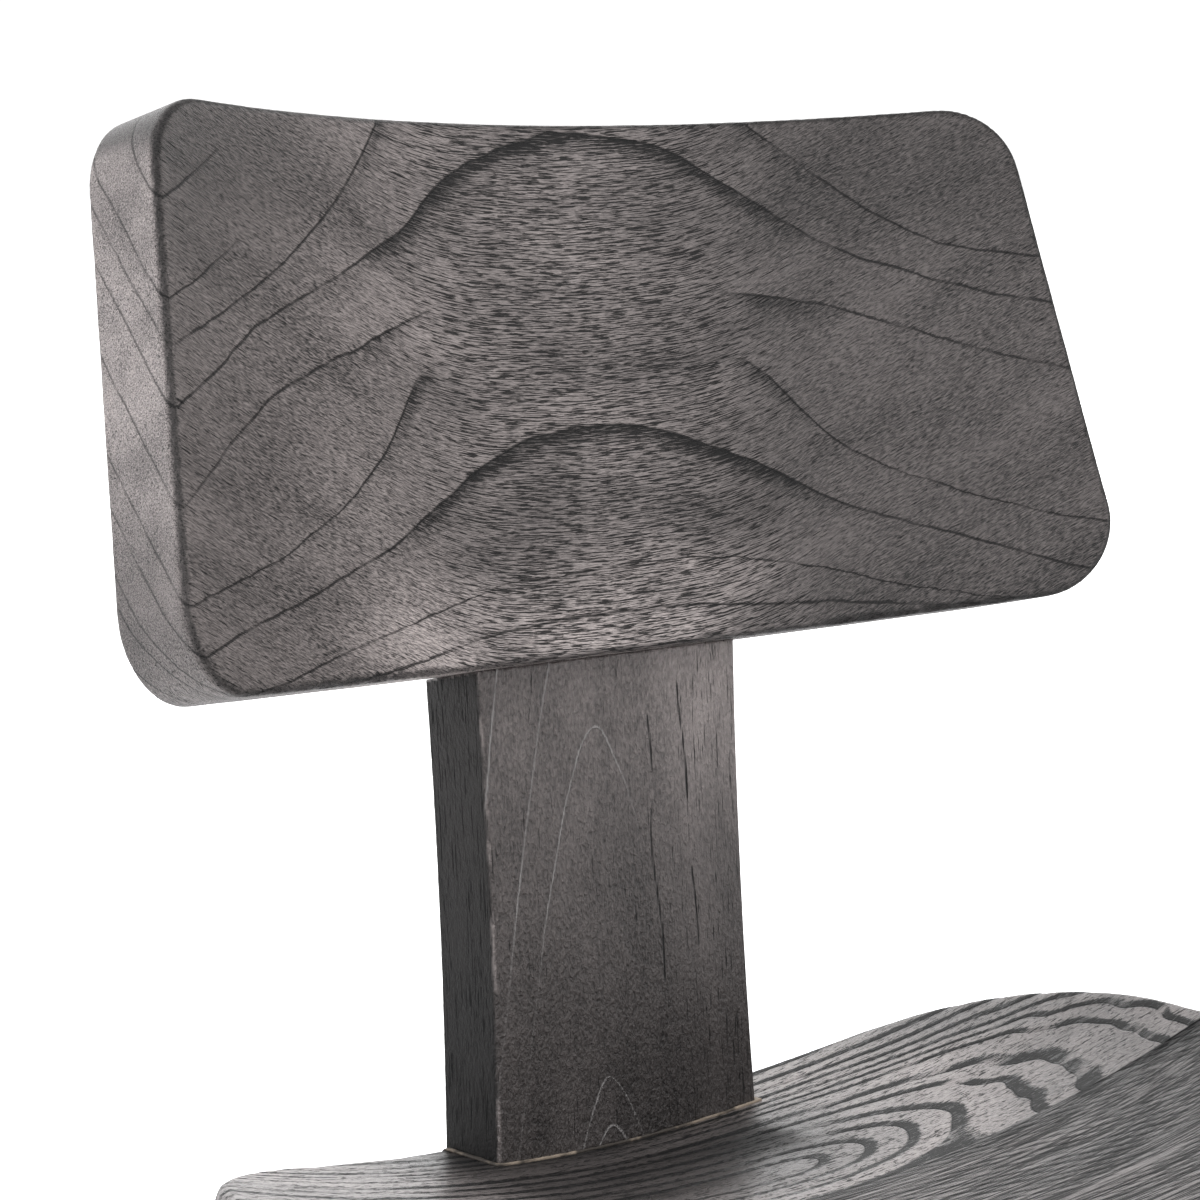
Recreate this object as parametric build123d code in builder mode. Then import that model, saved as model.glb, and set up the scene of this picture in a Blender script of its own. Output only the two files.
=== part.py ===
from build123d import *

import os
from math import cos, radians, sin

# Carved wooden back and seat: a curved head panel on a broad post, let into a dished, glued-up seat.
# Millimetres. +X is to the sitter's left, +Y to the rear, +Z up. The origin lies under the middle of
# the whole object, level with the seat's flat underside.

# Head panel: a rounded trapezium, carved hollow in front on an upright cylinder
PANEL_TOP_WIDTH = 381.0
PANEL_BOTTOM_WIDTH = 424.0
PANEL_HEIGHT = 184.9
PANEL_THICKNESS = 34.6
PANEL_RECLINE = 12.27
PANEL_HOLLOW_RADIUS = 458.0
PANEL_CORNER_RADIUS = 28.0
PANEL_ARRIS_RADIUS = 2.6

# Post: a broad board with slightly waisted edges
POST_TOP_WIDTH = 120.0
POST_WAIST_WIDTH = 116.4
POST_FOOT_WIDTH = 122.0
POST_THICKNESS = 29.7
POST_RECLINE = 3.94
POST_SETBACK = 6.0
POST_FACE_INSET = 33.5
POST_VISIBLE_HEIGHT = 171.0
POST_ARRIS_CHAMFER = 1.2
POST_FOOT_OVERLENGTH = 12.0
POST_SHOULDER_OVERLENGTH = 20.0

# Seat: three boards glued edge to edge, dished on top, thinned by a broad bevel underneath
SEAT_REAR_WIDTH = 424.0
SEAT_FRONT_WIDTH = 448.0
SEAT_DEPTH = 412.0
SEAT_REAR_BOW = 22.0
SEAT_FRONT_BOW = 14.0
SEAT_REAR_CORNER_RADIUS = 96.0
SEAT_FRONT_CORNER_RADIUS = 70.0
SEAT_LOW_THICKNESS = 24.0
SEAT_WIDEST_HEIGHT = 18.0
SEAT_BLANK_HEIGHT = 62.0
SEAT_SIDE_TAPER = 18.0
SEAT_BEVEL_TAPER = 36.0
SEAT_TOP_ARRIS_RADIUS = 4.0
SEAT_EDGE_RADIUS = 9.0
REAR_BOARD_WIDTH = 126.0
MIDDLE_BOARD_WIDTH = 146.0
# Each station of the dish: distance in front of the post's face, rise of its lowest line, radius
DISH_STATIONS = ((-75.0, -1.0, 700.0), (60.0, 1.0, 700.0), (220.0, 4.0, 950.0), (420.0, 9.0, 1900.0))
DISH_HALF_SPAN = 270.0

# Joinery
PANEL_TENON_WIDTH = 84.0
PANEL_TENON_THICKNESS = 14.0
PANEL_TENON_LENGTH = 48.0
PANEL_TENON_DEPTH_IN = 20.0
SEAT_TENON_WIDTH = 88.0
SEAT_TENON_THICKNESS = 15.0
SEAT_TENON_DEPTH_IN = 12.0
WEDGE_SPACING = 44.0
WEDGE_LENGTH = 16.0
WEDGE_THICK_END = 3.6
WEDGE_THIN_END = 1.2
PEG_RADIUS = 4.0
PEG_LENGTH = 24.0
PEG_SPACING = 46.0
PEG_HEIGHT = 24.0
DOWEL_RADIUS = 5.0
DOWEL_LENGTH = 60.0
DOWEL_COUNT = 4
DOWEL_SPACING = 92.0
DOWEL_HEIGHT = 12.0
DOWEL_CHAMFER = 1.0
SOCKET_RADIUS = 12.5
SOCKET_DEPTH = 25.0
REAR_SOCKET_SPACING = 264.0
FRONT_SOCKET_SPACING = 310.0
REAR_SOCKET_INSET = 74.0
FRONT_SOCKET_INSET = 74.0
FILLER_SIZE = 1.0

# Places that follow from the sizes above. The seat's rear edge carries the rest of the layout.
PANEL_TILT = radians(PANEL_RECLINE)
POST_TILT = radians(POST_RECLINE)
PANEL_UP = Vector(0, sin(PANEL_TILT), cos(PANEL_TILT))
PANEL_FORWARD = Vector(0, -cos(PANEL_TILT), sin(PANEL_TILT))
POST_UP = Vector(0, sin(POST_TILT), cos(POST_TILT))
POST_FORWARD = Vector(0, -cos(POST_TILT), sin(POST_TILT))

SEAT_REAR_Y = 183.3
SEAT_FRONT_Y = SEAT_REAR_Y - SEAT_DEPTH
POST_FACE_Y = SEAT_REAR_Y - POST_FACE_INSET
REAR_GLUE_Y = SEAT_REAR_Y - REAR_BOARD_WIDTH
FRONT_GLUE_Y = REAR_GLUE_Y - MIDDLE_BOARD_WIDTH
POST_FOOT = Vector(0, POST_FACE_Y, SEAT_LOW_THICKNESS)
PANEL_UNDERSIDE = POST_FOOT + POST_UP * POST_VISIBLE_HEIGHT + PANEL_FORWARD * POST_SETBACK
PANEL_CENTRE = PANEL_UNDERSIDE + PANEL_UP * (PANEL_HEIGHT / 2)

# The post's front face, the panel's front at its middle, and the panel's underside
POST_FACE_PLANE = Plane(origin=POST_FOOT, x_dir=(1, 0, 0), z_dir=POST_FORWARD)
POST_SECTION_PLANE = Plane(origin=POST_FOOT, x_dir=(1, 0, 0), z_dir=POST_UP)
PANEL_FACE_PLANE = Plane(origin=PANEL_CENTRE, x_dir=(1, 0, 0), z_dir=PANEL_FORWARD)
PANEL_UNDERSIDE_PLANE = Plane(origin=PANEL_UNDERSIDE, x_dir=(1, 0, 0), z_dir=PANEL_UP)

os.makedirs("parts", exist_ok=True)


# Seat blank: the three boards as one, shaped before it is parted at its glue lines
with BuildPart() as seat_blank:
    rear_half = SEAT_REAR_WIDTH / 2
    front_half = SEAT_FRONT_WIDTH / 2
    with BuildSketch(Plane.XY.offset(SEAT_WIDEST_HEIGHT)) as seat_plan:
        with BuildLine():
            rear_left = (-rear_half, SEAT_REAR_Y - SEAT_REAR_BOW)
            rear_right = (rear_half, SEAT_REAR_Y - SEAT_REAR_BOW)
            front_left = (-front_half, SEAT_FRONT_Y + SEAT_FRONT_BOW)
            front_right = (front_half, SEAT_FRONT_Y + SEAT_FRONT_BOW)
            ThreePointArc(front_left, (0, SEAT_FRONT_Y), front_right)
            Line(front_right, rear_right)
            ThreePointArc(rear_right, (0, SEAT_REAR_Y), rear_left)
            Line(rear_left, front_left)
        make_face()
        fillet(seat_plan.vertices().group_by(Axis.Y)[-1], SEAT_REAR_CORNER_RADIUS)
        fillet(seat_plan.vertices().group_by(Axis.Y)[0], SEAT_FRONT_CORNER_RADIUS)
    extrude(amount=SEAT_BLANK_HEIGHT - SEAT_WIDEST_HEIGHT, taper=SEAT_SIDE_TAPER)
    extrude(seat_plan.sketch, amount=-SEAT_WIDEST_HEIGHT, taper=SEAT_BEVEL_TAPER)
    widest_line = seat_blank.edges().filter_by_position(
        Axis.Z, SEAT_WIDEST_HEIGHT - 0.1, SEAT_WIDEST_HEIGHT + 0.1
    )
    fillet(widest_line, SEAT_EDGE_RADIUS)
    for ahead, rise, radius in DISH_STATIONS:
        low = SEAT_LOW_THICKNESS + rise
        edge = low + radius - (radius**2 - DISH_HALF_SPAN**2) ** 0.5
        above = 2 * SEAT_BLANK_HEIGHT
        with BuildSketch(Plane.XZ.offset(ahead - POST_FACE_Y)):
            with BuildLine():
                ThreePointArc((-DISH_HALF_SPAN, edge), (0, low), (DISH_HALF_SPAN, edge))
                Line((DISH_HALF_SPAN, edge), (DISH_HALF_SPAN, above))
                Line((DISH_HALF_SPAN, above), (-DISH_HALF_SPAN, above))
                Line((-DISH_HALF_SPAN, above), (-DISH_HALF_SPAN, edge))
            make_face()
    loft(mode=Mode.SUBTRACT)
    dish_face = seat_blank.faces().filter_by(GeomType.BSPLINE).sort_by(SortBy.AREA)[-1]
    fillet(dish_face.edges(), SEAT_TOP_ARRIS_RADIUS)


# Panel blank: a thick curved board trimmed to a rounded trapezium square to its face
with BuildPart() as panel_blank:
    top_half = PANEL_TOP_WIDTH / 2
    bottom_half = PANEL_BOTTOM_WIDTH / 2
    half_height = PANEL_HEIGHT / 2
    with BuildSketch(PANEL_FACE_PLANE) as panel_outline:
        with BuildLine():
            Polyline(
                (-bottom_half, -half_height),
                (bottom_half, -half_height),
                (top_half, half_height),
                (-top_half, half_height),
                close=True,
            )
        make_face()
        fillet(panel_outline.vertices(), PANEL_CORNER_RADIUS)
    extrude(amount=bottom_half, both=True)
    with BuildSketch(PANEL_UNDERSIDE_PLANE):
        with Locations((0, -PANEL_HOLLOW_RADIUS)):
            Circle(PANEL_HOLLOW_RADIUS + PANEL_THICKNESS)
            Circle(PANEL_HOLLOW_RADIUS, mode=Mode.SUBTRACT)
    extrude(amount=PANEL_HEIGHT, mode=Mode.INTERSECT)
    broad_faces = panel_blank.faces().sort_by(SortBy.AREA)[-2:]
    fillet(broad_faces.edges(), PANEL_ARRIS_RADIUS)


# Upper tenon: rises square to the panel's underside into its mortise
with BuildPart() as panel_tenon:
    with BuildSketch(PANEL_UNDERSIDE_PLANE):
        with Locations((0, PANEL_TENON_DEPTH_IN)):
            Rectangle(PANEL_TENON_WIDTH, PANEL_TENON_THICKNESS)
    extrude(amount=PANEL_TENON_LENGTH)


# Lower tenon: passes down the post's own slope through the seat, flush underneath
with BuildPart() as seat_tenon:
    with BuildSketch(POST_SECTION_PLANE):
        with Locations((0, SEAT_TENON_DEPTH_IN)):
            Rectangle(SEAT_TENON_WIDTH, SEAT_TENON_THICKNESS)
    extrude(amount=2 * SEAT_LOW_THICKNESS, both=True)
    split(bisect_by=Plane.XY, keep=Keep.TOP)
    split(bisect_by=Plane.XY.offset(2 * SEAT_LOW_THICKNESS), keep=Keep.BOTTOM)


# Wedges: driven up into saw kerfs in the lower tenon to spread it
with BuildPart() as tenon_wedges:
    with BuildSketch(Plane.XZ.offset(-SEAT_REAR_Y)):
        with GridLocations(WEDGE_SPACING, 0, 2, 1):
            Polygon(
                (-WEDGE_THICK_END / 2, 0),
                (WEDGE_THICK_END / 2, 0),
                (WEDGE_THIN_END / 2, WEDGE_LENGTH),
                (-WEDGE_THIN_END / 2, WEDGE_LENGTH),
                align=None,
            )
    extrude(amount=SEAT_DEPTH)
    add(seat_tenon.part, mode=Mode.INTERSECT)

tenon_wedges.part.label = "tenon_wedges"
export_step(tenon_wedges.part, "parts/tenon_wedges.step")


# Pegs: driven from behind through the panel and its tenon, trimmed to the panel's back
with BuildPart() as tenon_pegs:
    with BuildSketch(PANEL_FACE_PLANE.offset(PEG_LENGTH - PANEL_THICKNESS)):
        with Locations((0, PEG_HEIGHT - PANEL_HEIGHT / 2)):
            with GridLocations(PEG_SPACING, 0, 2, 1):
                Circle(PEG_RADIUS)
    extrude(amount=-PANEL_THICKNESS)
    add(panel_blank.part, mode=Mode.INTERSECT)

tenon_pegs.part.label = "tenon_pegs"
export_step(tenon_pegs.part, "parts/tenon_pegs.step")


# Head panel: the blank with its mortise and peg holes
with BuildPart() as head_panel:
    add(panel_blank.part)
    add(panel_tenon.part, mode=Mode.SUBTRACT)
    add(tenon_pegs.part, mode=Mode.SUBTRACT)

head_panel.part.label = "head_panel"
export_step(head_panel.part, "parts/head_panel.step")


# Back post: the board stands scribed to the dish, shouldered under the panel, tenoned at each end
with BuildPart() as back_post:
    foot_half = POST_FOOT_WIDTH / 2
    waist_half = POST_WAIST_WIDTH / 2
    head_half = POST_TOP_WIDTH / 2
    waist_y = POST_VISIBLE_HEIGHT / 2
    head_y = POST_VISIBLE_HEIGHT + POST_SHOULDER_OVERLENGTH
    with BuildSketch(POST_FACE_PLANE):
        with BuildLine():
            foot_left = (-foot_half, -POST_FOOT_OVERLENGTH)
            foot_right = (foot_half, -POST_FOOT_OVERLENGTH)
            Line(foot_left, foot_right)
            ThreePointArc(foot_right, (waist_half, waist_y), (head_half, head_y))
            Line((head_half, head_y), (-head_half, head_y))
            ThreePointArc((-head_half, head_y), (-waist_half, waist_y), foot_left)
        make_face()
    extrude(amount=-POST_THICKNESS)
    side_faces = back_post.faces().filter_by(GeomType.CYLINDER)
    chamfer(side_faces.edges().filter_by(GeomType.CIRCLE), POST_ARRIS_CHAMFER)
    split(bisect_by=PANEL_UNDERSIDE_PLANE, keep=Keep.BOTTOM)
    add(seat_blank.part, mode=Mode.SUBTRACT)
    split(bisect_by=Plane.XY.offset(SEAT_LOW_THICKNESS - SEAT_TOP_ARRIS_RADIUS), keep=Keep.TOP)
    add(panel_tenon.part)
    add(seat_tenon.part)
    add(tenon_pegs.part, mode=Mode.SUBTRACT)
    add(tenon_wedges.part, mode=Mode.SUBTRACT)

back_post.part.label = "back_post"
export_step(back_post.part, "parts/back_post.step")


# Filler bead: the hardened line of filler run round the post's foot on the seat
with BuildPart() as foot_filler:
    with BuildSketch(POST_SECTION_PLANE):
        with Locations((0, POST_THICKNESS / 2)):
            Rectangle(POST_FOOT_WIDTH + 2 * FILLER_SIZE, POST_THICKNESS + 2 * FILLER_SIZE)
    extrude(amount=SEAT_LOW_THICKNESS, both=True)
    add(seat_blank.part.moved(Location((0, 0, FILLER_SIZE))), mode=Mode.INTERSECT)
    add(seat_blank.part, mode=Mode.SUBTRACT)
    add(back_post.part, mode=Mode.SUBTRACT)

foot_filler.part.label = "foot_filler"
export_step(foot_filler.part, "parts/foot_filler.step")


# Dowels: one row across each glue line
def dowel_row(glue_y):
    with BuildPart(Plane.XZ.offset(-glue_y)) as row:
        with Locations((0, DOWEL_HEIGHT)):
            with GridLocations(DOWEL_SPACING, 0, DOWEL_COUNT, 1):
                Cylinder(DOWEL_RADIUS, DOWEL_LENGTH)
        chamfer(row.edges().filter_by(GeomType.CIRCLE), DOWEL_CHAMFER)
    return row.part


rear_joint_dowels = dowel_row(REAR_GLUE_Y)
rear_joint_dowels.label = "rear_joint_dowels"
export_step(rear_joint_dowels, "parts/rear_joint_dowels.step")

front_joint_dowels = dowel_row(FRONT_GLUE_Y)
front_joint_dowels.label = "front_joint_dowels"
export_step(front_joint_dowels, "parts/front_joint_dowels.step")


# Seat boards: the blank parted at its glue lines, with the post's mortise and blind sockets for four legs
REAR_GLUE_PLANE = Plane.XZ.offset(-REAR_GLUE_Y)
FRONT_GLUE_PLANE = Plane.XZ.offset(-FRONT_GLUE_Y)

with BuildPart() as seat_board_rear:
    add(seat_blank.part)
    split(bisect_by=REAR_GLUE_PLANE, keep=Keep.BOTTOM)
    add(seat_tenon.part, mode=Mode.SUBTRACT)
    add(rear_joint_dowels, mode=Mode.SUBTRACT)
    with BuildSketch():
        with Locations((0, SEAT_REAR_Y - REAR_SOCKET_INSET)):
            with GridLocations(REAR_SOCKET_SPACING, 0, 2, 1):
                Circle(SOCKET_RADIUS)
    extrude(amount=SOCKET_DEPTH, mode=Mode.SUBTRACT)

seat_board_rear.part.label = "seat_board_rear"
export_step(seat_board_rear.part, "parts/seat_board_rear.step")

with BuildPart() as seat_board_middle:
    add(seat_blank.part)
    split(bisect_by=REAR_GLUE_PLANE, keep=Keep.TOP)
    split(bisect_by=FRONT_GLUE_PLANE, keep=Keep.BOTTOM)
    add(rear_joint_dowels, mode=Mode.SUBTRACT)
    add(front_joint_dowels, mode=Mode.SUBTRACT)

seat_board_middle.part.label = "seat_board_middle"
export_step(seat_board_middle.part, "parts/seat_board_middle.step")

with BuildPart() as seat_board_front:
    add(seat_blank.part)
    split(bisect_by=FRONT_GLUE_PLANE, keep=Keep.TOP)
    add(front_joint_dowels, mode=Mode.SUBTRACT)
    with BuildSketch():
        with Locations((0, SEAT_FRONT_Y + FRONT_SOCKET_INSET)):
            with GridLocations(FRONT_SOCKET_SPACING, 0, 2, 1):
                Circle(SOCKET_RADIUS)
    extrude(amount=SOCKET_DEPTH, mode=Mode.SUBTRACT)

seat_board_front.part.label = "seat_board_front"
export_step(seat_board_front.part, "parts/seat_board_front.step")
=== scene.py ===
import math

import bmesh
import bpy
import numpy as np
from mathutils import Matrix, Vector, noise
from mathutils.bvhtree import BVHTree


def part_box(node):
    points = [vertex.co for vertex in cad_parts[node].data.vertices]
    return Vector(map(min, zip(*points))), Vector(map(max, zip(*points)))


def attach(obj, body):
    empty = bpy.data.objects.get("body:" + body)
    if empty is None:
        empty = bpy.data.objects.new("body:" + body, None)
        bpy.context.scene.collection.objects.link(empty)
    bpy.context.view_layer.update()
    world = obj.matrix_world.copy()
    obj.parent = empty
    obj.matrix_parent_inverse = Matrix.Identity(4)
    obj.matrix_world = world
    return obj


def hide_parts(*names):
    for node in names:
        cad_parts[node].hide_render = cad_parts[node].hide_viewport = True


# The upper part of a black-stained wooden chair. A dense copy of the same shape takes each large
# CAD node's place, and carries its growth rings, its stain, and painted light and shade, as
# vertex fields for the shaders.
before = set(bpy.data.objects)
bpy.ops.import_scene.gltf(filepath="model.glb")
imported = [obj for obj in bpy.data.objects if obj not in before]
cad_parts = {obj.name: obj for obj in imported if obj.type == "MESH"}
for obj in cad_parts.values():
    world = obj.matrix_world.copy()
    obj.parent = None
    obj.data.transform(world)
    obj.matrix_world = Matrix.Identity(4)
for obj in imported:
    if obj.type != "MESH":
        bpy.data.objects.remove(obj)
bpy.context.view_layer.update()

MM = 0.001

# Camera: a 100 mm lens on a 36 mm sensor, in front of the chair on the sitter's right side
CAMERA_PLACE = (-0.75815, -0.70160, 0.36262)
CAMERA_PITCH = math.radians(82.606)
CAMERA_YAW = math.radians(-41.112)
CAMERA_LENS = 100.69
SENSOR_WIDTH = 36.0

# Studio: how bright the sky and the floor are as light, and as the camera sees them
SKY_LIGHT = 0.6
SKY_WHITE = 1.1
FLOOR_LIGHT = 0.28
FLOOR_WHITE = 1.1
FLOOR_HALF_WIDTH = 30.0
# Lamps: name, place, width and height, radiance, tint; and the point at which all are aimed
SOFTBOXES = (
    ("Backdrop", (2.6, 3.2, 1.5), (5.0, 3.0), 1.6, (1.0, 1.0, 1.0)),
    ("Top", (-0.4, -0.6, 2.6), (1.6, 1.6), 3.0, (1.0, 1.0, 1.0)),
    ("EndLight", (-1.9, 3.3, 1.2), (1.2, 1.2), 4.0, (1.0, 1.0, 1.0)),
    ("KeyLeft", (-2.1, 0.2, 2.2), (1.2, 1.2), 5.0, (0.94, 0.97, 1.07)),
    ("FillRight", (1.6, -2.6, 1.2), (1.6, 1.6), 1.6, (1.02, 0.98, 1.04)),
)
LAMP_TARGET = Vector((0.0, 0.15, 0.25))

PANEL_VOXEL, PANEL_QUICK_VOXEL = 1.4, 2.4
POST_VOXEL, POST_QUICK_VOXEL = 0.9, 2.0
FILLER_VOXEL = 0.3
# What counts as one vertex or as lying on a glued face, and how much longer a board is remeshed
WELD_DISTANCE = 0.002
ON_GLUED_FACE = 0.05
GLUE_OVERLENGTH = 6

# Head panel: a hollow cylinder's face, leaning back. All lengths from here on are millimetres
PANEL_CENTRE = np.array((0.0, 175.33, 286.21))
PANEL_RECLINE = math.radians(12.27)
PANEL_HOLLOW = 458.0
# The hollow is worked out no farther than this from the panel's middle
PANEL_REACH = 300
PANEL_UP = np.array((0.0, math.sin(PANEL_RECLINE), math.cos(PANEL_RECLINE)))
PANEL_FORWARD = np.array((0.0, -math.cos(PANEL_RECLINE), math.sin(PANEL_RECLINE)))
# Its growth rings: their slope into the thickness, their waves (height, size, shift), and the
# gaps between the rings above the first drawn line and below the last
PANEL_RING_SLOPE = 1.35
PANEL_RING_WAVES = ((1.2, (26, 18, 18), 0.0), (0.5, (7, 6, 6), 9.0))
RING_GAP_ABOVE = 30
RING_GAP_BELOW = 15

# The drawn lines on its face: the crest's height above the panel's centre, then how far the line
# has fallen at each station to the left and to the right of the middle
RING_STATIONS = (0, 25, 50, 75, 100, 150, 200, 250)
PANEL_RINGS = (
    (160, (0, 8, 20, 38, 68, 107, 135, 155), (0, 4, 14, 34, 60, 92, 112, 130)),
    (128, (0, 7, 18, 33, 60, 94, 116, 134), (0, 3, 9, 27, 47, 82, 96, 110)),
    (90, (0, 7, 16, 35, 47, 68, 96, 120), (0, 2, 7, 21, 37, 59, 75, 90)),
    (36, (0, 1, 4, 11, 19, 37, 69, 95), (0, 1, 3, 6, 10, 27, 45, 65)),
    (13, (0, 0, 3, 7, 34, 62, 76, 92), (0, 1, 4, 8, 34, 62, 80, 95)),
    (-13, (0, 3, 11, 24, 36, 52, 66, 80), (0, 2, 10, 20, 33, 53, 72, 90)),
    (-63, (0, 1, 3, 8, 13, 24, 36, 48), (0, 0, 1, 5, 11, 25, 37, 50)),
    (-78, (0, 1, 3, 6, 10, 20, 30, 40), (0, 0, 2, 4, 6, 14, 26, 40)),
    (-105, (0, 1, 3, 6, 10, 16, 24, 34), (0, 0, 2, 4, 6, 12, 20, 32)),
)
# How far the pores' rows rise at the same stations, times their lean, so that they cross the rings
STROKE_RISE = (0, 1, 3, 10, 22, 46, 72, 96)
STROKE_LEAN = 0.8

# Back post: the top of its face and its lean
POST_TOP = np.array((0.0, 161.6, 194.8))
POST_RECLINE = math.radians(3.94)
POST_UP = np.array((0.0, math.sin(POST_RECLINE), math.cos(POST_RECLINE)))
# Its arched rings: their middle, how they fall to the sides, how round their tops are, their
# slope into the thickness, and their crests above or below the top of the face
POST_ARCH_X = -9.0
POST_ARCH_FALL = 0.44
POST_ARCH_POWER = 1.55
POST_ARCH_ROUND = 3.0
POST_RING_SLOPE = 2.2
POST_CRESTS = (-220, -163, -147, -24, 40, 140, 230)
# Dark drying checks on the post's face: across at the top, drift across, and their two ends
POST_CHECKS = (
    (16.0, 0.0, -20, -46),
    (15.5, 4.5, -48, -126),
    (31.0, 2.0, -8, -60),
    (34.0, 1.0, -75, -112),
)
# Far enough from a check to show none
NO_CRACK = 9.0

# Seat: the eye of the rear board's nested rings, and each ring's distance from it
SEAT_EYE = (10.0, 88.0)
SEAT_RINGS = (0, 9, 16, 23, 30, 38, 44, 54, 58, 62, 67, 73, 80, 88, 97, 107, 118, 130, 150)
# How much longer than wide the loops are, to the right and to the left of the eye
LOOP_LENGTH_RIGHT = 2.8
LOOP_LENGTH_LEFT = 20
# How the rings slope into the boards, and the height at which the eye lies
LOOP_RING_SLOPE = 0.35
LOOP_EYE_HEIGHT = 32
STRAIGHT_RING_SLOPE = 0.6
# Rings wider apart than this on the surface count as this far apart
WIDEST_RING = 120
# The seat's dish in cross-section, which the fibres follow
DISH_RISE = 0.8 / 1400
# The glue lines across the seat
REAR_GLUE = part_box("seat_board_rear")[0].y / MM
FRONT_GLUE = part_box("seat_board_middle")[0].y / MM
# Counts as this far from an open crack at the front glue line, so that it shows only faintly
FAINT_JOINT = 0.3


# ---------------------------------------------------------------- mesh helpers

def dense_copy(node, name, voxel, cuts=()):
    """A fine, even mesh with the CAD node's shape, in place. Each cut is the y of a glued face in
    millimetres, which keeps its crisp edges: the copy is made longer there, and trimmed after."""
    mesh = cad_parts[node].data.copy()
    middle = (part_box(node)[0].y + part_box(node)[1].y) / 2 / MM
    welded = bmesh.new()
    welded.from_mesh(mesh)
    bmesh.ops.remove_doubles(welded, verts=welded.verts, dist=WELD_DISTANCE * MM)
    for cut in cuts:
        for vertex in welded.verts:
            if abs(vertex.co.y - cut * MM) < ON_GLUED_FACE * MM:
                vertex.co.y += math.copysign(GLUE_OVERLENGTH * MM, cut - middle)
    welded.to_mesh(mesh)
    surface = BVHTree.FromBMesh(welded)
    welded.free()
    obj = bpy.data.objects.new(name, mesh)
    bpy.context.scene.collection.objects.link(obj)
    remesh = obj.modifiers.new("Even", "REMESH")
    remesh.mode = "VOXEL"
    remesh.voxel_size = voxel * MM
    remesh.use_smooth_shade = True
    soften = obj.modifiers.new("Soften", "SMOOTH")
    soften.factor = 0.5
    soften.iterations = 2
    graph = bpy.context.evaluated_depsgraph_get()
    obj.data = bpy.data.meshes.new_from_object(obj.evaluated_get(graph))
    obj.modifiers.clear()
    obj.data.name = name
    for vertex in obj.data.vertices:
        vertex.co = surface.find_nearest(vertex.co)[0]
    obj.data.update()
    for cut in cuts:
        trim(obj.data, cut * MM, math.copysign(1, cut - middle))
    return obj


def trim(mesh, cut, side):
    """Cuts the mesh square at y = cut, in metres, and closes it there."""
    form = bmesh.new()
    form.from_mesh(mesh)
    everything = form.verts[:] + form.edges[:] + form.faces[:]
    cut_away = bmesh.ops.bisect_plane(
        form, geom=everything, plane_co=(0, cut, 0), plane_no=(0, side, 0), clear_outer=True
    )
    rim = [e for e in cut_away["geom_cut"] if isinstance(e, bmesh.types.BMEdge)]
    bmesh.ops.triangle_fill(form, edges=rim, normal=(0, side, 0), use_beauty=True)
    for face in form.faces:
        face.smooth = True
    for edge in rim:
        edge.smooth = False
    form.to_mesh(mesh)
    form.free()


def points_of(obj):
    """The mesh's vertices in millimetres."""
    flat = np.empty(len(obj.data.vertices) * 3, np.float32)
    obj.data.vertices.foreach_get("co", flat)
    return flat.reshape(-1, 3).astype(float) / MM


def normals_of(obj):
    flat = np.empty(len(obj.data.vertices) * 3, np.float32)
    obj.data.vertex_normals.foreach_get("vector", flat)
    return flat.reshape(-1, 3).astype(float)


def set_points(obj, points):
    obj.data.vertices.foreach_set("co", (points * MM).astype(np.float32).ravel())
    obj.data.update()


def set_field(obj, name, values):
    """Stores one number per vertex, which the wood materials read."""
    field = obj.data.attributes.new(name, "FLOAT", "POINT")
    field.data.foreach_set("value", values.astype(np.float32))


def set_grain(obj, along, across, depth):
    """Stores where each point lies in the timber, in metres, which the wood materials follow."""
    field = obj.data.attributes.new("grain", "FLOAT_VECTOR", "POINT")
    place = np.stack((along, across, depth), 1) * MM
    field.data.foreach_set("vector", place.astype(np.float32).ravel())


def set_even_field(obj, name, value):
    """Stores the same number at every vertex."""
    set_field(obj, name, np.full(len(obj.data.vertices), float(value)))


def wander(points, scale, shift=0.0):
    """Smooth noise from -1 to 1 at each point, with features of the given size in millimetres."""
    at = points / np.asarray(scale, float) + shift
    return np.array([noise.noise(Vector(p)) for p in at])


def smoothstep(low, high, value):
    t = np.clip((value - low) / (high - low), 0, 1)
    return t * t * (3 - 2 * t)


def smooth_curve(stations, values, at):
    """A smooth line through the values at the stations (Catmull-Rom tangents)."""
    x, y = np.asarray(stations, float), np.asarray(values, float)
    slope = np.gradient(y, x)
    i = np.clip(np.searchsorted(x, at) - 1, 0, len(x) - 2)
    width = x[i + 1] - x[i]
    t = np.clip((at - x[i]) / width, 0, 1)
    rise = y[i] * (1 + 2 * t) * (1 - t) ** 2 + y[i + 1] * (3 - 2 * t) * t ** 2
    bend = slope[i] * t * (1 - t) ** 2 - slope[i + 1] * t ** 2 * (1 - t)
    return rise + bend * width


# ---------------------------------------------------------------- growth rings

def panel_place(points):
    """Across, up and forward of the middle of the panel's face."""
    away = points - PANEL_CENTRE
    return away[:, 0], away @ PANEL_UP, away @ PANEL_FORWARD


def hollow_depth(x):
    """How far the panel's hollow face comes forward at a distance across from its middle."""
    return PANEL_HOLLOW - np.sqrt(PANEL_HOLLOW ** 2 - np.clip(x, -PANEL_REACH, PANEL_REACH) ** 2)


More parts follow.
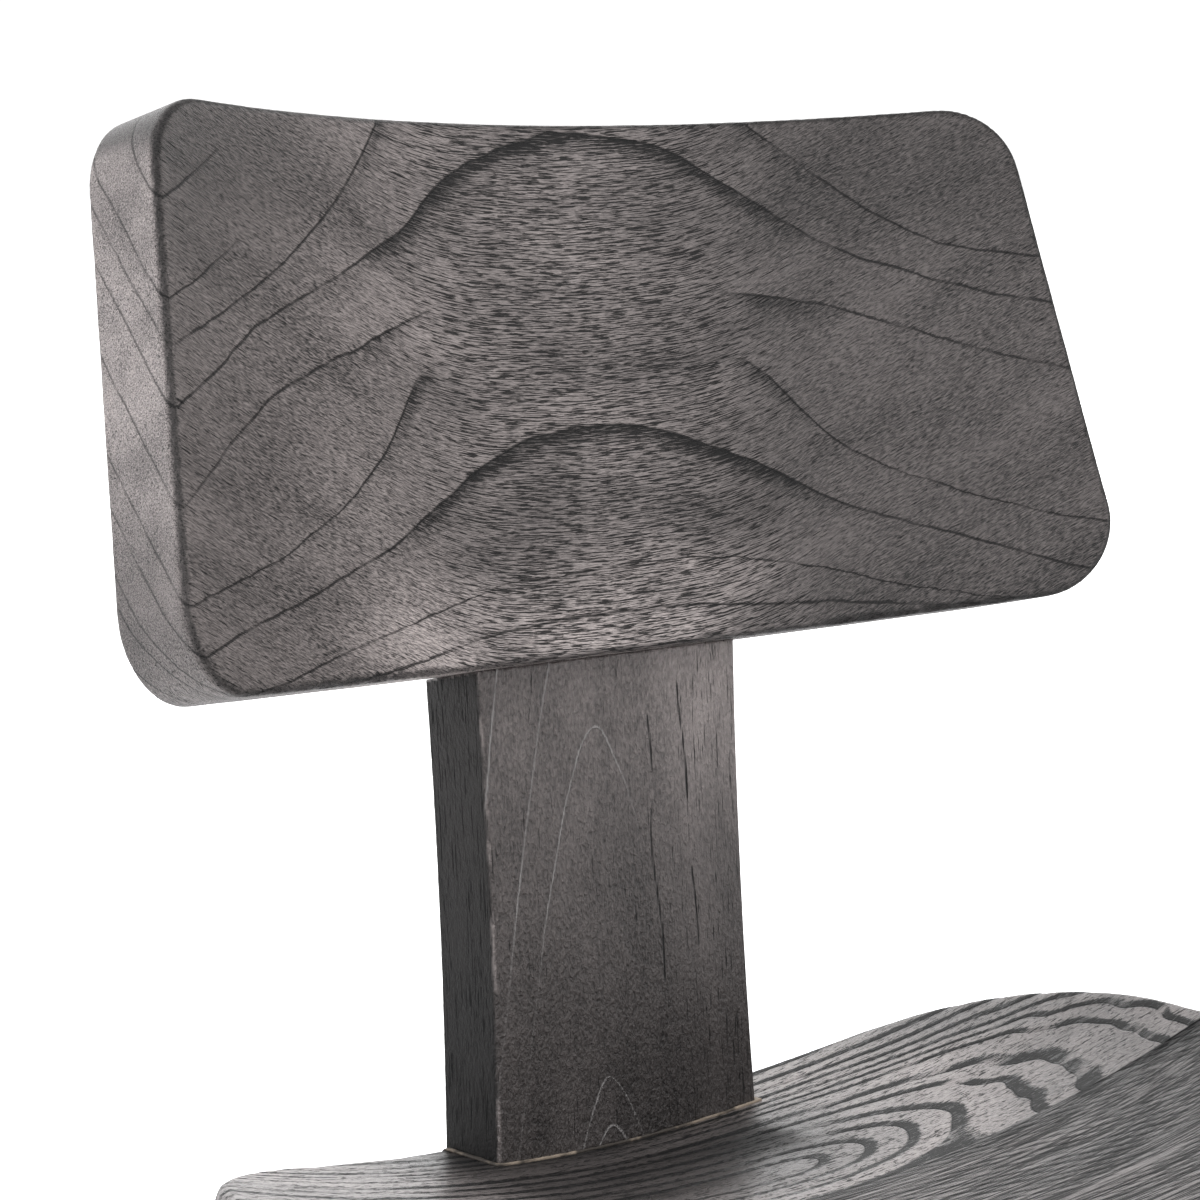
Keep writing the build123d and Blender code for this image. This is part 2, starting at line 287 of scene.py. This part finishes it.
def panel_rings(points):
    """Rings counted downwards; whole numbers are the drawn lines."""
    x, up, forward = panel_place(points)
    height = up + PANEL_RING_SLOPE * (forward - hollow_depth(x))
    for wave, size, shift in PANEL_RING_WAVES:
        height = height + wave * wander(points, size, shift)
    side = np.abs(x)
    lines = []
    for crest, left, right in PANEL_RINGS:
        left_drop = smooth_curve(RING_STATIONS, left, side)
        right_drop = smooth_curve(RING_STATIONS, right, side)
        lines.append(crest - np.where(x < 0, left_drop, right_drop))
    count = np.zeros(len(points))
    for above, below in zip(lines, lines[1:]):
        count += np.clip((above - height) / np.maximum(above - below, 1), 0, 1)
    past_last = np.maximum(lines[-1] - height, 0) / RING_GAP_BELOW
    before_first = np.maximum(height - lines[0], 0) / RING_GAP_ABOVE
    return count + past_last - before_first


def post_rings(points):
    """Arched rings, their crests on the post's face, falling towards its back."""
    away = points - POST_TOP
    up = away @ POST_UP
    side = away[:, 0] - POST_ARCH_X + 1.0 * wander(points, (16, 16, 60))
    depth = away[:, 1] - up * math.tan(POST_RECLINE)
    rounded = np.hypot(side, POST_ARCH_ROUND) ** POST_ARCH_POWER
    fall = POST_ARCH_FALL * (rounded - POST_ARCH_ROUND ** POST_ARCH_POWER)
    crest = up + fall + POST_RING_SLOPE * depth + 2.2 * wander(points, (9, 9, 30), 4.0)
    return np.interp(crest, POST_CRESTS, np.arange(len(POST_CRESTS), dtype=float))


def rear_board_rings(points):
    """Nested loops about an eye in front of the post, drawn out along the board. Their right
    ends are scalloped, and the outer loops run off the board's front edge."""
    x = points[:, 0] - SEAT_EYE[0]
    y = points[:, 1] - SEAT_EYE[1]
    far = smoothstep(40, 100, x)
    scallops = 7 * wander(points, (60, 17, 30)) + 3 * wander(points, (30, 9, 12), 6.0)
    x = x + far * scallops + 1.5 * wander(points, (30, 12, 30), 5.0)
    y = y + 1.0 * wander(points, (45, 12, 20), 2.0)
    along = np.where(x > 0, x / LOOP_LENGTH_RIGHT, x / LOOP_LENGTH_LEFT)
    outer = smoothstep(25, 48, np.hypot(along, y))
    y = np.where(y < 0, y * (1 - 0.55 * outer), y)
    reach = np.hypot(along, y) - LOOP_RING_SLOPE * (points[:, 2] - LOOP_EYE_HEIGHT)
    return np.interp(reach, SEAT_RINGS, np.arange(len(SEAT_RINGS), dtype=float))


def straight_rings(slope, gap, shift):
    """Nearly straight lines along a board, which lean by the slope and lie a gap apart."""

    def rings(points):
        across = points[:, 1] + slope * points[:, 0] + STRAIGHT_RING_SLOPE * points[:, 2]
        across = across + 1.6 * wander(points, (120, 14, 20), shift)
        across = across + 7 * wander(points, (300, 60, 60), shift)
        return across / gap + shift

    return rings


def add_rings(obj, rings):
    """Stores the ring count, and how many millimetres of surface one ring takes."""
    points, normals = points_of(obj), normals_of(obj)
    count = rings(points)
    step = 0.5
    slope = np.stack([(rings(points + step * axis) - count) / step for axis in np.eye(3)], 1)
    slope -= normals * (slope * normals).sum(1)[:, None]
    gap = 1 / np.clip(np.linalg.norm(slope, axis=1), 1 / WIDEST_RING, 1)
    set_field(obj, "ring", count)
    set_field(obj, "ring_gap", gap)
    return count, gap


# ---------------------------------------------------------------- materials

class Shader:
    """A node material with one Principled surface, built step by step."""

    def __init__(self, name, turn=None):
        self.material = bpy.data.materials.new(name)
        self.material.use_nodes = True
        self.tree = self.material.node_tree
        self.tree.nodes.clear()
        self.surface = self.tree.nodes.new("ShaderNodeBsdfPrincipled")
        output = self.tree.nodes.new("ShaderNodeOutputMaterial")
        self.tree.links.new(self.surface.outputs["BSDF"], output.inputs["Surface"])
        self.position = self.tree.nodes.new("ShaderNodeTexCoord").outputs["Object"]
        if turn:
            rotate = self.tree.nodes.new("ShaderNodeVectorRotate")
            rotate.rotation_type = "EULER_XYZ"
            rotate.inputs["Rotation"].default_value = turn
            self.plug(rotate.inputs["Vector"], self.position)
            self.position = rotate.outputs["Vector"]

    def plug(self, socket, value):
        if isinstance(value, bpy.types.NodeSocket):
            self.tree.links.new(value, socket)
        else:
            socket.default_value = value

    def math(self, operation, a, b=0.0, clamp=False):
        node = self.tree.nodes.new("ShaderNodeMath")
        node.operation = operation
        node.use_clamp = clamp
        self.plug(node.inputs[0], a)
        self.plug(node.inputs[1], b)
        return node.outputs[0]

    def sum(self, *terms):
        """Adds sockets, numbers and (socket, weight) pairs."""
        total = 0.0
        for term in terms:
            if isinstance(term, tuple):
                term = self.math("MULTIPLY", *term)
            total = self.math("ADD", total, term)
        return total

    def ease(self, value, low, high, start=0.0, end=1.0):
        """Goes smoothly from start to end as value goes from low to high."""
        node = self.tree.nodes.new("ShaderNodeMapRange")
        node.interpolation_type = "SMOOTHSTEP"
        ends = {"From Min": low, "From Max": high, "To Min": start, "To Max": end}
        for name, number in ends.items():
            self.plug(node.inputs[name], number)
        self.plug(node.inputs["Value"], value)
        return node.outputs["Result"]

    def noise(self, along, across, detail=2.0, roughness=0.5, distortion=0.0):
        """Noise whose features are 1/along metres long down the fibres and 1/across wide."""
        scale = self.tree.nodes.new("ShaderNodeMapping")
        self.plug(scale.inputs["Vector"], self.position)
        scale.inputs["Scale"].default_value = (along, across, across)
        node = self.tree.nodes.new("ShaderNodeTexNoise")
        self.plug(node.inputs["Vector"], scale.outputs["Vector"])
        node.inputs["Scale"].default_value = 1.0
        node.inputs["Detail"].default_value = detail
        node.inputs["Roughness"].default_value = roughness
        node.inputs["Distortion"].default_value = distortion
        return node.outputs["Fac"]

    def field(self, name):
        node = self.tree.nodes.new("ShaderNodeAttribute")
        node.attribute_name = name
        return node.outputs["Fac"]

    def mix(self, factor, a, b, blend="MIX"):
        node = self.tree.nodes.new("ShaderNodeMix")
        node.data_type = "RGBA"
        node.blend_type = blend
        self.plug(node.inputs["Factor"], factor)
        self.plug(node.inputs["A"], a)
        self.plug(node.inputs["B"], b)
        return node.outputs["Result"]

    def bump(self, height, depth):
        node = self.tree.nodes.new("ShaderNodeBump")
        node.inputs["Strength"].default_value = 1.0
        node.inputs["Distance"].default_value = depth
        self.plug(node.inputs["Height"], height)
        self.plug(self.surface.inputs["Normal"], node.outputs["Normal"])


PORE_DARKNESS = 0.95
PALE_LINE_GREY = 0.38
CRACK_GREY = 0.003
SPECULAR = 0.4


def grey(value, warmth=0.0):
    """A neutral, warmed a little towards brown."""
    return (value * (1 + warmth), value, value * (1 - 0.3 * warmth), 1.0)


def stained_wood(name, light=0.345, dark=0.004, warmth=0.13, pore=0.478, pore_scale=(130, 2600),
                 line=0.9, band=0.6, band_depth=10.0, band_share=0.0, pale_line=0.0, gloss=0.38,
                 depth=0.75, grain=1.0, wrinkle=(380, 1800), wrinkle_tone=0.9):
    """Black-stained, brushed open-grain wood. The mesh carries: grain, the place in the timber,
    its fibres running along X; ring and ring_gap; drawn and banded, the strength of the lines and
    of the dark below them; shade, a factor on the colour, which carries painted light and shade as
    well as changes in the stain; filled, where the pores are full; crack, the distance in
    millimetres from a drying check or joint. A noise's features are 1/scale metres long and wide:
    pore_scale and wrinkle are along and across the fibres."""
    s = Shader(name)
    timber = s.tree.nodes.new("ShaderNodeAttribute")
    timber.attribute_name = "grain"
    s.position = timber.outputs["Vector"]
    along, across = pore_scale
    pores = s.noise(along, across, detail=2.0, roughness=0.6, distortion=0.2)
    long_pores = s.noise(along * 0.35, across * 0.6, detail=1.0, roughness=0.5)
    fibres = s.noise(along * 1.6, across * 1.6, detail=2.0, roughness=0.7)
    mottle = s.noise(11, 34, detail=3.0, roughness=0.6)
    patches = s.noise(24, 62, detail=2.0)
    wrinkles = s.noise(wrinkle[0], wrinkle[1], detail=2.0, roughness=0.6, distortion=0.4)

    # A fine line on each ring, roughened by the pores, and a dark band fading below it
    ring, gap, drawn = s.field("ring"), s.field("ring_gap"), s.field("drawn")
    shade, filled = s.field("shade"), s.field("filled")
    phase = s.math("FRACT", ring)
    below = s.math("MULTIPLY", phase, gap)
    above = s.math("MULTIPLY", s.math("SUBTRACT", 1.0, phase), gap)
    nearest = s.sum(s.math("MINIMUM", below, above), (pores, 1.4), -0.7)
    presence = s.math("MULTIPLY", s.ease(patches, 0.36, 0.52, 0.5, 1.0), drawn)
    thin_line = s.math("MULTIPLY", s.ease(nearest, 0.1, 0.65, 1.0, 0.0), presence)
    if band_share:
        edge = s.sum(phase, (pores, 0.25), -0.125)
        fade = s.ease(edge, band_share * 0.7, band_share * 1.2, 1.0, 0.0)
    else:
        fade = s.math("POWER", s.ease(below, 0.0, band_depth, 1.0, 0.0), 1.5)
    fade = s.math("MULTIPLY", s.math("MULTIPLY", fade, band), s.field("banded"))

    # Open pores, which crowd in the dark bands
    pore_field = s.sum((pores, 0.7), (long_pores, 0.3), (fade, -0.10), (filled, 0.11))
    pit = s.ease(pore_field, pore - 0.030, pore + 0.018, 1.0, 0.0)

    # The stain between them, from dark to light, times the shade factor, which carries painted light
    # and shade as well as changes in the stain, then the lines and the checks over it
    rough_grain = s.sum((fibres, 1.5 * grain), -0.75 * grain)
    leather = s.math("MULTIPLY", s.sum((wrinkles, 3.2), -1.6), s.sum((filled, 0.8), 0.2))
    tone = s.sum(0.55, rough_grain, (leather, wrinkle_tone), (mottle, 1.2), -0.6, (fade, -0.75))
    tone = s.math("ADD", tone, 0.0, clamp=True)
    ground = s.mix(tone, grey(dark * 3, warmth * 0.3), grey(light, warmth))
    colour = s.mix(s.math("MULTIPLY", pit, PORE_DARKNESS), ground, grey(dark, warmth * 0.5))
    # Painted light and shade: each piece's shade factor lightens or darkens the colour here
    colour = s.mix(1.0, colour, shade, "MULTIPLY")
    paleness = s.math("MULTIPLY", filled, pale_line)
    line_tone = s.mix(paleness, grey(dark * 0.6), grey(PALE_LINE_GREY, 0.05))
    colour = s.mix(s.math("MULTIPLY", thin_line, line), colour, line_tone)
    crack = s.ease(s.sum(s.field("crack"), (pores, 0.9), -0.45), 0.2, 0.6, 1.0, 0.0)
    colour = s.mix(crack, colour, grey(CRACK_GREY))
    s.plug(s.surface.inputs["Base Color"], colour)

    # Pores, checks and the darkest painted shade are duller
    deepest_painted_shade = s.ease(shade, 0.0, 0.3, 0.4, 0.0)
    rough = s.sum(gloss, (pit, 0.30), (crack, 0.3), (mottle, 0.2), -0.1, deepest_painted_shade)
    s.plug(s.surface.inputs["Roughness"], rough)
    s.surface.inputs["Specular IOR Level"].default_value = SPECULAR

    # Pores, lines and checks are sunk; pale lines stand up
    height = s.sum((pit, -0.8), (thin_line, -0.8 + 1.4 * pale_line), (fibres, 0.35), (mottle, 0.5))
    height = s.sum(height, (crack, -1.5), (leather, 0.45))
    s.bump(height, depth * MM)
    return s.material


def plain_wood(name, light, dark, turn=(0, 0, 0)):
    """Unfinished turned hardwood, for the hidden dowels."""
    s = Shader(name, turn)
    fibres = s.noise(40, 900, detail=3.0)
    drift = s.noise(12, 90, detail=2.0)
    tone = s.math("MULTIPLY", s.sum(fibres, drift), 0.5)
    s.plug(s.surface.inputs["Base Color"], s.mix(tone, dark, light))
    s.plug(s.surface.inputs["Roughness"], s.ease(fibres, 0.3, 0.7, 0.75, 0.55))
    s.bump(fibres, 0.1 * MM)
    return s.material


def end_grain(name):
    """Stained end grain of the pegs and wedges: fine dots."""
    s = Shader(name)
    dots = s.noise(1100, 1100, detail=2.0)
    pit = s.ease(dots, 0.38, 0.46, 1.0, 0.0)
    s.plug(s.surface.inputs["Base Color"], s.mix(pit, grey(0.055, 0.02), grey(0.012)))
    s.plug(s.surface.inputs["Roughness"], s.ease(dots, 0.3, 0.7, 0.7, 0.5))
    s.bump(s.math("SUBTRACT", 1.0, pit), 0.15 * MM)
    return s.material


def filler_paste(name):
    """Hardened light-brown wood filler, dirtied with stain."""
    s = Shader(name)
    grit = s.noise(900, 900, detail=3.0, roughness=0.7)
    dirt = s.noise(60, 60, detail=3.0, roughness=0.6)
    colour = s.mix(grit, (0.17, 0.135, 0.10, 1), (0.52, 0.43, 0.34, 1))
    colour = s.mix(s.ease(dirt, 0.42, 0.56, 0.0, 0.93), colour, (0.035, 0.03, 0.026, 1))
    s.plug(s.surface.inputs["Base Color"], colour)
    s.plug(s.surface.inputs["Roughness"], s.ease(grit, 0.3, 0.7, 0.6, 0.85))
    s.bump(grit, 0.25 * MM)
    return s.material


# ---------------------------------------------------------------- pieces

def finish_piece(obj, material, slot, *nodes):
    obj.data.materials.clear()
    obj.data.materials.append(material)
    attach(obj, "root")
    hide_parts(*nodes)
    return obj


def panel_relief(points, x, near_line):
    """Millimetres of hand-finished unevenness, with a shallow groove along each drawn line."""
    relief = 0.10 * wander(points, (60, 14, 14)) + 0.08 * wander(points, (25, 25, 25), 3.0)
    off_the_ends = smoothstep(205, 190, np.abs(x))
    return relief - 0.06 * smoothstep(2.5, 0.0, near_line) * off_the_ends


def panel_arris(x, normals):
    """1 on the rounded edge round the hollow face, where painted shade darkens the colour."""
    turned = x / PANEL_HOLLOW
    square = normals @ PANEL_FORWARD * np.sqrt(1 - turned ** 2) - normals[:, 0] * turned
    return smoothstep(0.985, 0.90, square) * smoothstep(0.1, 0.5, square)


def panel_shade(x, up, end_face, arris):
    """A factor on the panel's colour: paler low in the middle, a painted sheen across the middle,
    painted shade to the right, the upper corners and the far left, painted light on the end face
    and painted shade on the rounded edges.
    """
    bottom_middle = smoothstep(120, 50, np.abs(x + 25)) * smoothstep(-50, -80, up)
    middle = smoothstep(110, 40, np.abs(x))
    right = smoothstep(-10, 100, x)
    far_left = smoothstep(-100, -180, x)
    high = smoothstep(10, 80, up)
    upper_left = high * smoothstep(-50, -140, x)
    upper_right = high * smoothstep(50, 140, x)
    # Paler low in the middle; a painted sheen across the middle; painted shade to the right, in the
    # upper corners and at the far left
    shade = 1 + 1.0 * bottom_middle + 0.15 * middle - 0.54 * right - 0.36 * upper_left
    shade = shade - 0.10 * upper_right - 0.25 * far_left
    # Painted light on the end face, strongest towards its top
    shade += end_face * (-0.10 + 1.05 * smoothstep(-95, 10, up))
    # Painted shade on the rounded edges
    return shade * (1 - 0.7 * arris)


def make_panel():
    voxel = PANEL_VOXEL
    obj = dense_copy("head_panel", "head_panel_wood", voxel)
    count, gap = add_rings(obj, panel_rings)
    points, normals = points_of(obj), normals_of(obj)
    x, up, forward = panel_place(points)
    side = np.abs(x)
    arc = PANEL_HOLLOW * np.arcsin(x / PANEL_HOLLOW)
    strokes = up - STROKE_LEAN * smooth_curve(RING_STATIONS, STROKE_RISE, side)
    set_grain(obj, arc, strokes, forward - hollow_depth(x))
    near_line = np.abs(count - np.round(count)) * gap
    set_points(obj, points + normals * panel_relief(points, x, near_line)[:, None])

    # The first line and any above are drawn only at the far left, and the fourth and fifth
    # not in the middle
    end_face = smoothstep(0.75, 0.95, np.abs(normals[:, 0]))
    top_line = smoothstep(0.6, 0.4, count) * smoothstep(-175, -150, x)
    middle_lines = smoothstep(0.9, 0.6, np.abs(count - 3.5)) * smoothstep(85, 60, side)
    drawn = (1 - top_line - 0.95 * middle_lines) * (1 - 0.3 * end_face)
    upper_rings = smoothstep(5.95, 5.9, count)
    wide_rings = smoothstep(12, 30, gap) * smoothstep(140, 70, side)
    set_field(obj, "drawn", drawn)
    set_field(obj, "banded", drawn * upper_rings * wide_rings)
    set_field(obj, "shade", panel_shade(x, up, end_face, panel_arris(x, normals)))
    set_field(obj, "filled", smoothstep(45, 115, side) - 0.35 * smoothstep(-150, -190, x))
    set_even_field(obj, "crack", NO_CRACK)
    return finish_piece(obj, stained_wood("PanelWood"), "stained_wood", "head_panel")


def post_checks(points):
    """How many millimetres each point is from the nearest drying check on the post's face."""
    away = points - POST_TOP
    up = away @ POST_UP
    behind = 4 * smoothstep(3, 8, away[:, 1] - up * math.tan(POST_RECLINE))
    nearest = np.full(len(points), NO_CRACK)
    for across, drift, high, low in POST_CHECKS:
        along = (high - up) / (high - low)
        line = across + drift * along ** 2 + 0.8 * np.sin(up / 9)
        past_end = 12 * np.maximum(np.abs(along - 0.5) - 0.38, 0)
        nearest = np.minimum(nearest, np.abs(away[:, 0] - line) + past_end + behind)
    return nearest


def post_shade(points, normals, up, side_face):
    """Painted light and shade on the post: painted light towards the top and the upper right,
    painted shade towards the foot and on the sides, and a painted highlight in patches along the
    left edge.
    """
    high = smoothstep(-95, -5, up)
    foot = smoothstep(-80, -160, up)
    upper_right = smoothstep(0, 45, points[:, 0]) * smoothstep(-90, -20, up)
    # Painted light towards the top and the upper right, and painted shade towards the foot
    shade = 0.75 + 0.25 * high - 0.30 * foot + 0.72 * upper_right
    # Painted shade on the sides
    shade *= 1 - 0.88 * side_face
    # A painted highlight along the left edge, shown in patches
    left_arris = smoothstep(0.35, 0.6, -normals[:, 0]) * smoothstep(0.9, 0.75, -normals[:, 0])
    highlight_patches = smoothstep(-0.1, 0.3, wander(points, (3, 3, 11), 8.0))
    return shade + 1.2 * left_arris * highlight_patches


def make_post():
    voxel = POST_VOXEL
    obj = dense_copy("back_post", "back_post_wood", voxel)
    count, _ = add_rings(obj, post_rings)
    points, normals = points_of(obj), normals_of(obj)
    x = points[:, 0]
    up = (points - POST_TOP) @ POST_UP
    set_grain(obj, up, x, points[:, 1] - up * math.tan(POST_RECLINE))
    relief = 0.07 * wander(points, (12, 12, 70)) + 0.03 * wander(points, (3, 3, 40), 5.0)
    set_points(obj, points + normals * relief[:, None])

    side_face = smoothstep(0.6, 0.95, np.abs(normals[:, 0]))
    upper_arches = count > 2.5
    drawn = smoothstep(12, -6, x) * (1 - side_face)
    drawn *= 1 - 0.85 * smoothstep(-75, -115, up) * upper_arches
    set_field(obj, "shade", post_shade(points, normals, up, side_face))
    set_field(obj, "filled", 1 - 0.4 * smoothstep(10, 40, x) - 0.6 * side_face)
    set_field(obj, "drawn", drawn)
    set_field(obj, "banded", drawn)
    set_field(obj, "crack", post_checks(points))
    material = stained_wood("PostWood", light=0.235, pale_line=1.0, band=0.1, pore=0.46,
                            pore_scale=(90, 1900), gloss=0.33, depth=1.1, grain=0.35,
                            wrinkle=(500, 850), wrinkle_tone=0.4)
    return finish_piece(obj, material, "stained_wood", "back_post")


def board_shade(points):
    """A factor on a board's colour: random clouds in the stain, darker in front of the rear glue
    line, a painted reflection of the dark post by its foot, and painted shade towards the right end.
    """
    x, y = points[:, 0], points[:, 1]
    post_reflection = smoothstep(95, 50, np.abs(x + 15)) * smoothstep(60, 100, y)
    by_glue = smoothstep(REAR_GLUE - 14, REAR_GLUE, y) * (y < REAR_GLUE + 0.1)
    shaded_right_end = smoothstep(90, 190, x)
    clouds = wander(points, (70, 30, 30), 7.0)
    # Random clouds in the stain; darker in front of the rear glue line; a painted reflection of the
    # dark post by its foot; painted shade towards the right end
    return 1 + 0.25 * clouds - 0.8 * post_reflection - 0.5 * by_glue - 0.45 * shaded_right_end


def make_board(node, rings, material, voxel, depth, cuts):
    """A seat board with its rings standing up to the given depth, in millimetres."""
    obj = dense_copy(node, node + "_wood", voxel, cuts)
    count, gap = add_rings(obj, rings)
    points, normals = points_of(obj), normals_of(obj)
    x, y, z = points.T
    set_grain(obj, x, y, z - DISH_RISE * x ** 2)
    phase = count - np.floor(count)
    ridge = smoothstep(0.0, 0.25, phase) * smoothstep(1.0, 0.55, phase)
    relief = depth * (ridge - 0.5) * smoothstep(1.5, 5.0, gap) + 0.15 * wander(points, (60, 20, 20))
    glued = np.abs(normals[:, 1]) > 0.9
    set_points(obj, points + normals * np.where(glued, 0, relief)[:, None])

    broken = smoothstep(-0.6, 0.2, wander(points, (110, 5, 8), 4.0))
    left_part = smoothstep(50, -20, x)
    facing_up = smoothstep(0.45, 0.85, normals[:, 2])
    drawn = broken * (1 - 0.6 * left_part) * (0.4 + 0.6 * facing_up)
    set_field(obj, "shade", board_shade(points))
    set_even_field(obj, "filled", 0)
    set_field(obj, "drawn", drawn)
    set_field(obj, "banded", drawn * smoothstep(1.5, 7.0, gap))
    set_field(obj, "crack", FAINT_JOINT + np.abs(y - FRONT_GLUE))
    return finish_piece(obj, material, "stained_wood", node)


def make_filler():
    obj = dense_copy("foot_filler", "foot_filler_bead", FILLER_VOXEL)
    points, normals = points_of(obj), normals_of(obj)
    relief = 0.18 * wander(points, (6, 6, 6)) + 0.10 * wander(points, (1.5, 1.5, 1.5), 3.0)
    set_points(obj, points + normals * relief[:, None])
    return finish_piece(obj, filler_paste("FootFiller"), "wood_filler", "foot_filler")


def make_seat():
    """Three boards: nested loops on the rear one, straight lines on the other two."""
    rear = stained_wood("RearBoardWood", light=0.42, line=1.0, band=1.7, band_share=0.30,
                        depth=0.5, gloss=0.30, pore_scale=(260, 1600), pore=0.43, grain=0.9)
    straight = stained_wood("StraightBoardWood", light=0.225, line=1.0, band=1.1, band_share=0.40,
                            depth=0.5, gloss=0.34, pore_scale=(16, 1900), pore=0.50, grain=1.7)
    middle_rings = straight_rings(slope=0.235, gap=3.6, shift=2.0)
    front_rings = straight_rings(slope=-0.06, gap=5.0, shift=6.0)
    make_board("seat_board_rear", rear_board_rings, rear, voxel=1.2, depth=0.25,
               cuts=(REAR_GLUE,))
    make_board("seat_board_middle", middle_rings, straight, voxel=1.5, depth=0.12,
               cuts=(REAR_GLUE, FRONT_GLUE))
    make_board("seat_board_front", front_rings, straight, voxel=2.0, depth=0.12,
               cuts=(FRONT_GLUE,))


def dress_joinery():
    """The dowels, pegs and wedges stay the CAD's own solids, and only get their wood."""
    turned = (0, 0, math.radians(90))
    dowel = plain_wood("DowelWood", (0.62, 0.48, 0.32, 1), (0.40, 0.28, 0.17, 1), turned)
    for node, material, slot in (
        ("rear_joint_dowels", dowel, "dowel_wood"),
        ("front_joint_dowels", dowel, "dowel_wood"),
        ("tenon_pegs", end_grain("PegEndGrain"), "stained_wood"),
        ("tenon_wedges", end_grain("WedgeEndGrain"), "stained_wood"),
    ):
        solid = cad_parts[node]
        solid.data.materials.clear()
        solid.data.materials.append(material)


# ---------------------------------------------------------------- studio

def make_floor():
    """A wide pale floor that the object stands on."""
    form = bmesh.new()
    bmesh.ops.create_grid(form, x_segments=8, y_segments=8, size=FLOOR_HALF_WIDTH)
    mesh = bpy.data.meshes.new("studio_floor")
    form.to_mesh(mesh)
    form.free()
    floor = bpy.data.objects.new("studio_floor", mesh)
    bpy.context.scene.collection.objects.link(floor)
    s = Shader("StudioFloor")
    s.surface.inputs["Emission Color"].default_value = (1, 1, 1, 1)
    camera_ray = s.tree.nodes.new("ShaderNodeLightPath").outputs["Is Camera Ray"]
    s.plug(s.surface.inputs["Emission Strength"], s.ease(camera_ray, 0, 1, FLOOR_LIGHT, FLOOR_WHITE))
    s.plug(s.surface.inputs["Base Color"], s.mix(s.noise(40, 40), grey(0.90), grey(0.93)))
    s.surface.inputs["Roughness"].default_value = 0.9
    mesh.materials.append(s.material)


def make_softbox(name, place, size, radiance, tint):
    """A rectangular lamp of the given brightness, which the camera doesn't see."""
    lamp = bpy.data.lights.new(name, "AREA")
    lamp.shape = "RECTANGLE"
    lamp.size, lamp.size_y = size
    lamp.energy = radiance * math.pi * size[0] * size[1]
    lamp.color = tint
    obj = bpy.data.objects.new(name, lamp)
    obj.location = place
    obj.rotation_euler = (LAMP_TARGET - Vector(place)).to_track_quat("-Z", "Y").to_euler()
    obj.visible_camera = False
    bpy.context.scene.collection.objects.link(obj)


def make_sky():
    """White to look at, and a dimmer grey as light, so that the softboxes shape the object."""
    world = bpy.data.worlds.new("StudioWhite")
    world.use_nodes = True
    tree = world.node_tree
    background = tree.nodes["Background"]
    background.inputs["Color"].default_value = (1, 1, 1, 1)
    strength = tree.nodes.new("ShaderNodeMapRange")
    strength.inputs["To Min"].default_value = SKY_LIGHT
    strength.inputs["To Max"].default_value = SKY_WHITE
    path = tree.nodes.new("ShaderNodeLightPath")
    tree.links.new(path.outputs["Is Camera Ray"], strength.inputs["Value"])
    tree.links.new(strength.outputs["Result"], background.inputs["Strength"])
    bpy.context.scene.world = world


def make_camera():
    data = bpy.data.cameras.new("Camera")
    data.lens = CAMERA_LENS
    data.sensor_width = SENSOR_WIDTH
    camera = bpy.data.objects.new("Camera", data)
    camera.location = CAMERA_PLACE
    camera.rotation_euler = (CAMERA_PITCH, 0, CAMERA_YAW)
    bpy.context.scene.collection.objects.link(camera)
    bpy.context.scene.camera = camera


# ---------------------------------------------------------------- the whole scene

make_panel()
make_post()
make_seat()
make_filler()
dress_joinery()

make_floor()
make_sky()
for softbox in SOFTBOXES:
    make_softbox(*softbox)
make_camera()
bpy.context.scene.view_settings.view_transform = "Standard"
